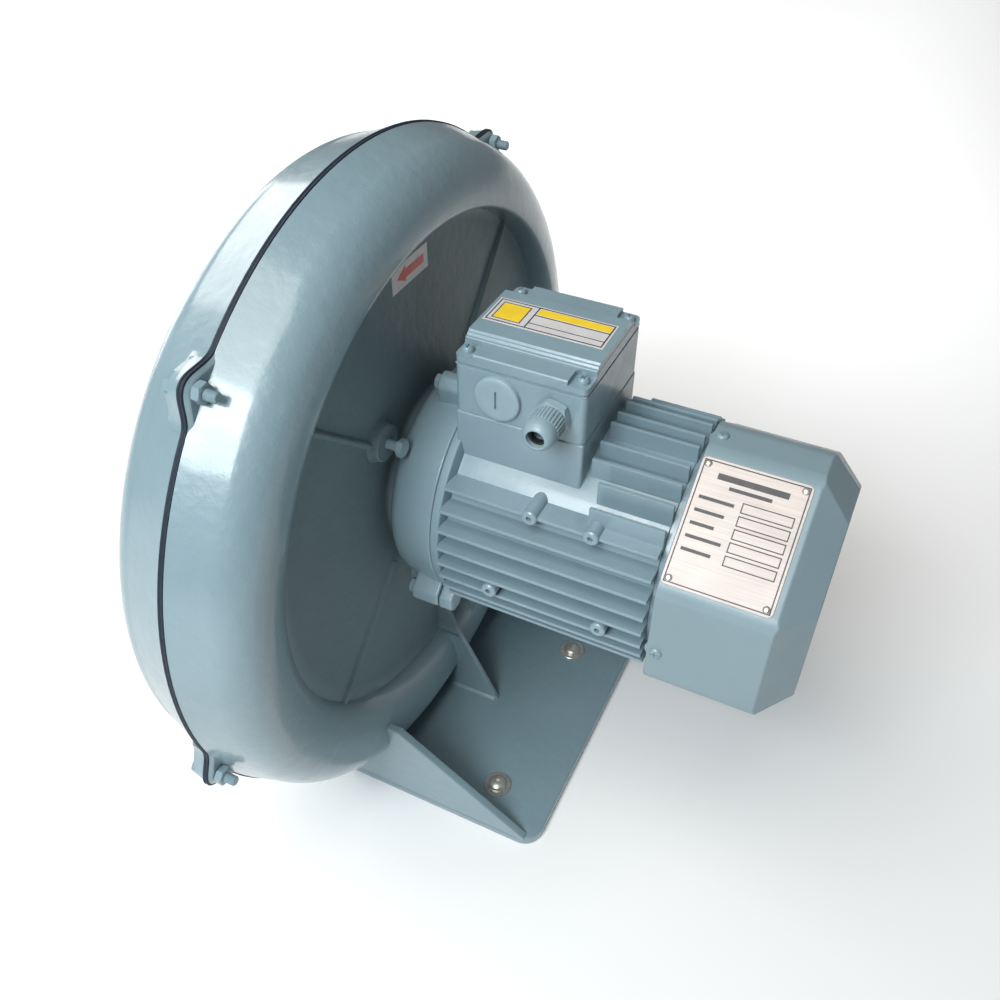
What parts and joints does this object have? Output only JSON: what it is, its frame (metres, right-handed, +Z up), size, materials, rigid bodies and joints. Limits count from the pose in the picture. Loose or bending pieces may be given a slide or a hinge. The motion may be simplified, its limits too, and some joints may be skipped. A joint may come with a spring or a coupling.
{
  "type": "centrifugal turbo blower",
  "caption": "Centrifugal turbo blower: round two-half cast casing on a gusseted foot, closed backward-curved impeller overhung on a finned flange motor.",
  "frame": {"origin": "underside of the foot, midway between its two slots", "axes": "+X along the shaft from the casing towards the motor's fan, +Y the way the outlet blows, +Z up from the foot"},
  "size_m": [0.496, 0.5898, 0.5828],
  "materials": {
    "enamel": "semi-gloss blue-grey enamel",
    "gasket_rubber": "dark navy sealing compound",
    "zinc_steel": "zinc plated",
    "bare_steel": "machined",
    "impeller_alloy": "satin sheet",
    "winding_varnish": "varnished copper coils",
    "terminal_plastic": "moulded",
    "stud_brass": "plain",
    "grey_plastic": "moulded, blue-grey",
    "fan_plastic": "moulded",
    "plate_aluminium": "brushed plate"
  },
  "bodies": {
    "housing": {"front_casing": "enamel", "rear_casing": "enamel", "casing_gasket": "gasket_rubber", "casing_bolts": "enamel", "casing_nuts": "enamel", "inlet_nozzle": "enamel", "inlet_screws": "zinc_steel", "outlet_collar": "enamel", "collar_screws": "zinc_steel", "bearing_outer_races": "bare_steel", "drive_end_shield": "enamel", "motor_bolts": "enamel", "tie_bolts": "enamel", "shaft_seal": "gasket_rubber", "stator_core": "bare_steel", "windings": "winding_varnish", "motor_frame": "enamel", "rear_end_shield": "enamel", "terminal_box": "enamel", "lid_gasket": "gasket_rubber", "terminal_lid": "enamel", "lid_screws": "enamel", "terminal_block": "terminal_plastic", "terminal_studs": "stud_brass", "blank_plug": "grey_plastic", "gland_body": "grey_plastic", "gland_nut": "grey_plastic", "gland_seal": "gasket_rubber", "fan_cowl": "enamel", "cowl_screws": "enamel", "nameplate": "plate_aluminium", "nameplate_rivets": "plate_aluminium"},
    "rotor": {"impeller_blades": "impeller_alloy", "impeller_shroud": "impeller_alloy", "impeller_back_plate": "impeller_alloy", "impeller_hub": "impeller_alloy", "impeller_rivets": "impeller_alloy", "impeller_key": "bare_steel", "impeller_washer": "zinc_steel", "impeller_bolt": "zinc_steel", "shaft": "bare_steel", "rotor_core": "bare_steel", "bearing_inner_races": "bare_steel", "cooling_fan": "fan_plastic"}
  },
  "joints": [
    {"name": "rotor_spin", "type": "hinge", "parent": "housing", "child": "rotor", "pos_m": [0, 0, 0.308], "axis": [1, 0, 0], "continuous": true}
  ]
}
